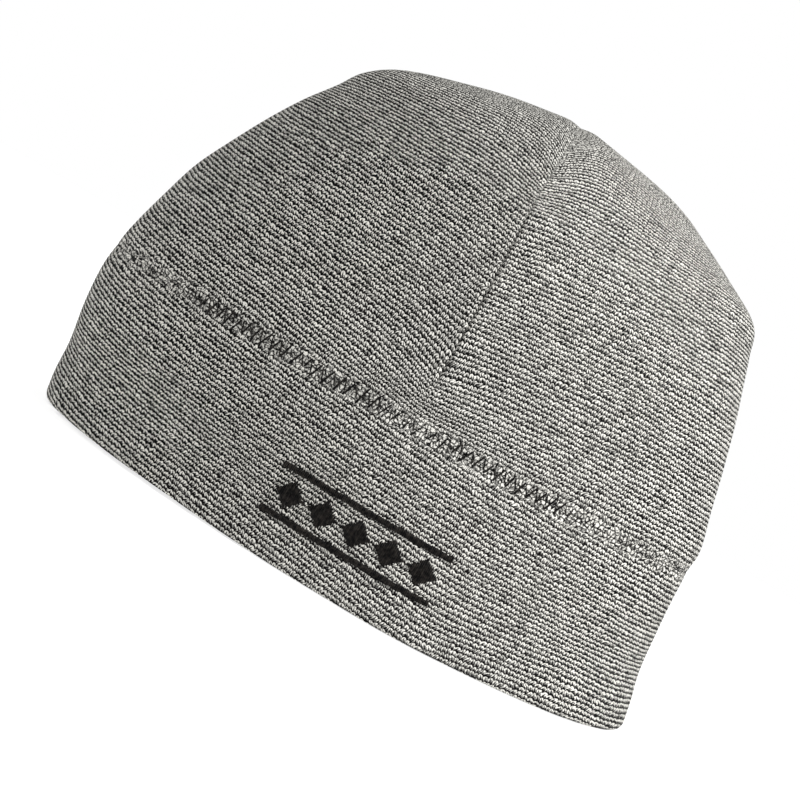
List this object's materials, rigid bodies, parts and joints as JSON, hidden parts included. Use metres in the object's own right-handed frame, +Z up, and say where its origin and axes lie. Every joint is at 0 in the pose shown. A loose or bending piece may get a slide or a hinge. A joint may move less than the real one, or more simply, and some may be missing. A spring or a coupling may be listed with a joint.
{
  "type": "knit-faced neoprene beanie",
  "caption": "Close-fitting beanie of knit-faced neoprene: a domed crown closed by a front dart and a back seam, joined to a straight band with a plain embroidered border.",
  "frame": {"origin": "middle of the overall box, at the height of the surface that the rim rests on", "axes": "+Z up through the crown, -Y towards the front with the dart and the embroidery, +X towards the wearer's left"},
  "size_m": [0.1679, 0.1873, 0.1225],
  "materials": {
    "knit_neoprene": "grey melange rib-effect knit laminated on foam neoprene, matt",
    "black_thread": "near-black satin-stitch and sewing thread, low sheen"
  },
  "bodies": {
    "root": {"crown": "knit_neoprene", "band": "knit_neoprene", "embroidery_bar_upper": "black_thread", "embroidery_bar_lower": "black_thread", "embroidery_lozenge_1": "black_thread", "embroidery_lozenge_2": "black_thread", "embroidery_lozenge_3": "black_thread", "embroidery_lozenge_4": "black_thread", "embroidery_lozenge_5": "black_thread"}
  },
  "joints": []
}
